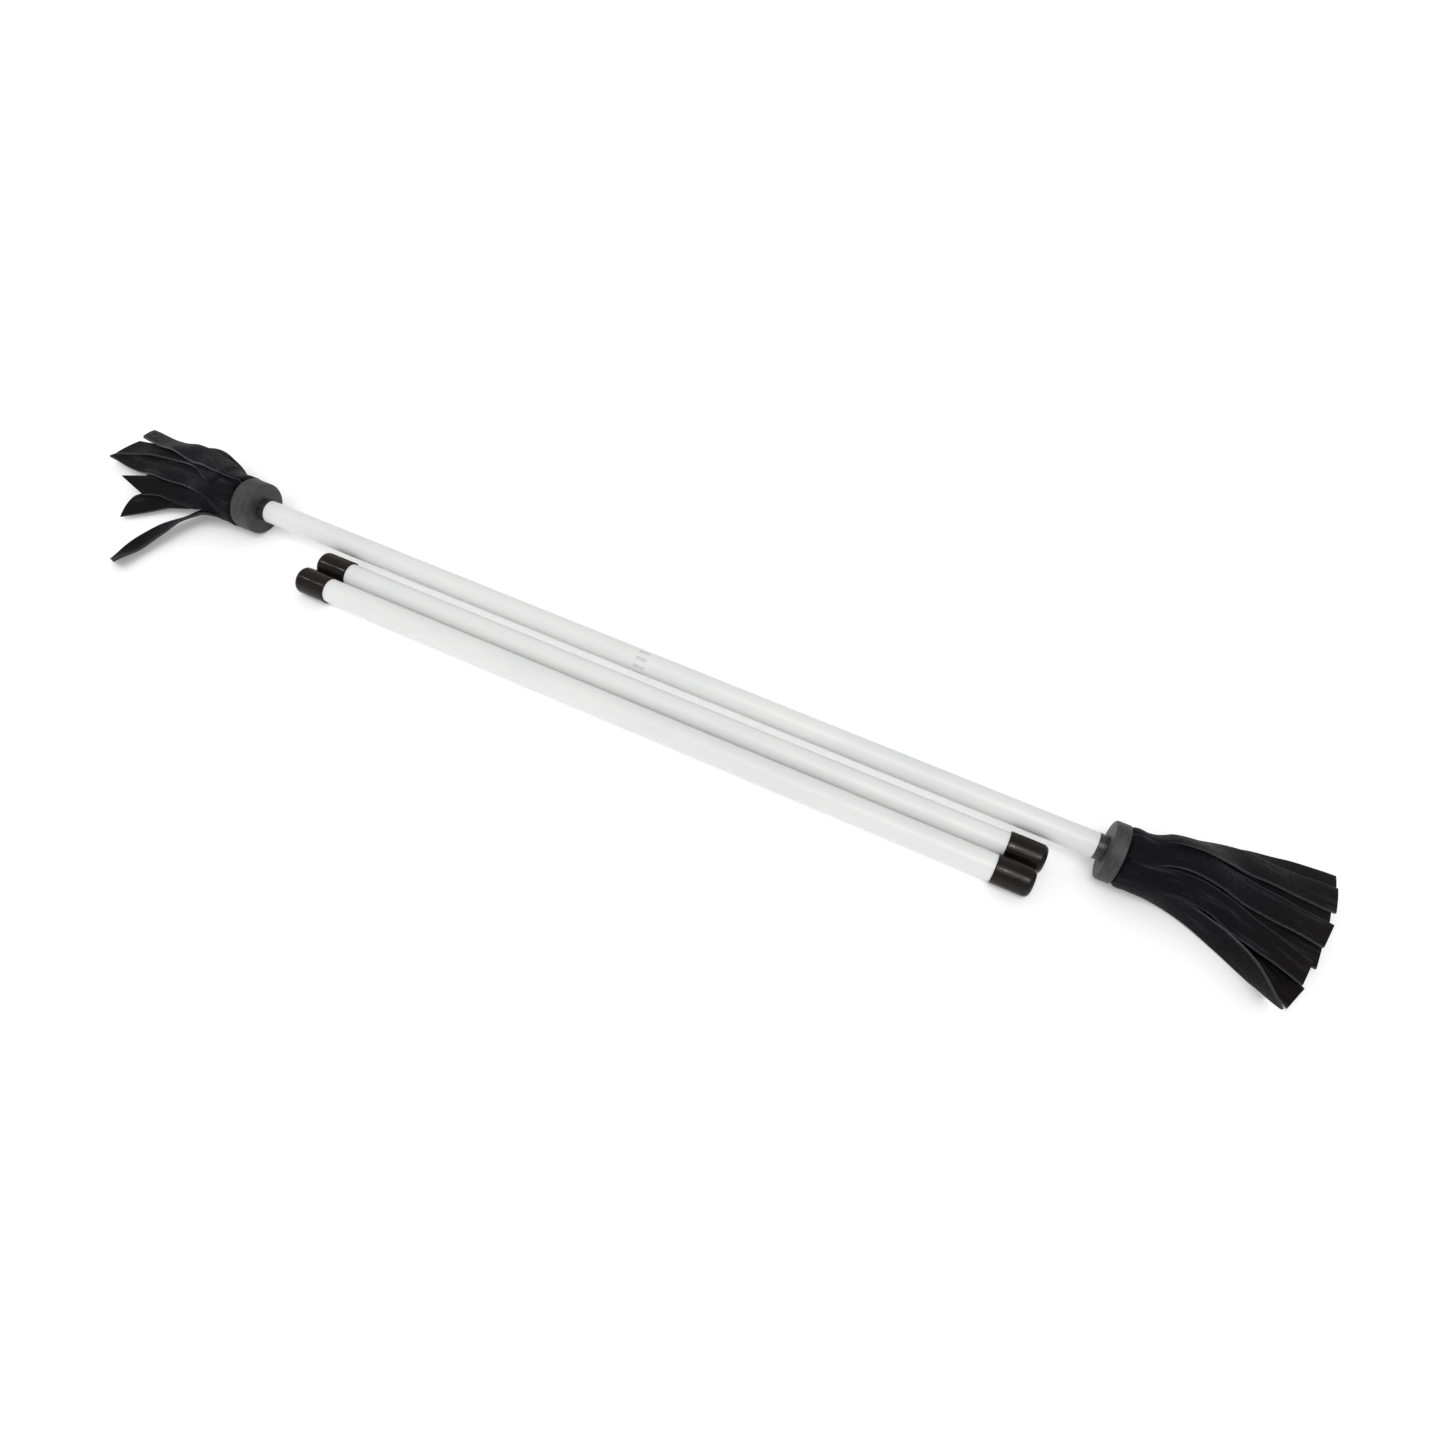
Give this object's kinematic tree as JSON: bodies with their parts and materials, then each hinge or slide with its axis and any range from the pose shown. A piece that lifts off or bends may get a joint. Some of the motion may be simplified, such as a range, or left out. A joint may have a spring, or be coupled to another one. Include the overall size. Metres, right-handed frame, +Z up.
{
  "type": "flower stick juggling set",
  "caption": "Juggling baton with a suede fringe in a rubber collar at each end, and a pair of slim sleeved hand sticks with dipped end caps, lying side by side.",
  "frame": {"origin": "on the surface that the set lies on, below the middle of the set's footprint", "axes": "+X along the sticks from the curled fringe to the spread one, +Y from the hand sticks towards the baton, +Z up"},
  "size_m": [0.7854, 0.123, 0.0324],
  "materials": {
    "rod_wood": "raw dowel",
    "sleeve_silicone": "smooth white silicone tube, soft gloss",
    "neck_tape": "black vinyl tape, gloss",
    "collar_rubber": "matte black rubber",
    "fringe_suede": "black suede, fine nap, raw cut edges",
    "cap_vinyl": "dipped vinyl, brown-black, gloss"
  },
  "bodies": {
    "baton": {"baton_core_rod": "rod_wood", "baton_grip_sleeve": "sleeve_silicone", "left_neck_tape": "neck_tape", "right_neck_tape": "neck_tape", "left_collar": "collar_rubber", "right_collar": "collar_rubber", "left_fringe_header": "fringe_suede", "right_fringe_header": "fringe_suede"},
    "left_fringe": {"left_fringe_upper_layer": "fringe_suede", "left_fringe_lower_layer": "fringe_suede", "left_fringe_loose_strip": "fringe_suede"},
    "right_fringe": {"right_fringe_upper_layer": "fringe_suede", "right_fringe_lower_layer": "fringe_suede"},
    "rear_stick": {"rear_stick_core_rod": "rod_wood", "rear_stick_grip_sleeve": "sleeve_silicone", "rear_stick_left_cap": "cap_vinyl", "rear_stick_right_cap": "cap_vinyl"},
    "front_stick": {"front_stick_core_rod": "rod_wood", "front_stick_grip_sleeve": "sleeve_silicone", "front_stick_left_cap": "cap_vinyl", "front_stick_right_cap": "cap_vinyl"}
  },
  "joints": [
    {"name": "left_fringe_flop", "type": "hinge", "parent": "baton", "child": "left_fringe", "pos_m": [-0.29545, 0.0115, 0.0162], "axis": [0, 1, 0], "range_deg": [0, 75]},
    {"name": "right_fringe_flop", "type": "hinge", "parent": "baton", "child": "right_fringe", "pos_m": [0.29145, 0.0115, 0.0162], "axis": [0, -1, 0], "range_deg": [0, 75]},
    {"name": "rear_stick_lift", "type": "slide", "parent": "baton", "child": "rear_stick", "axis": [0, 0, 1], "range_m": [0, 0.15]},
    {"name": "front_stick_lift", "type": "slide", "parent": "baton", "child": "front_stick", "axis": [0, 0, 1], "range_m": [0, 0.15]}
  ]
}
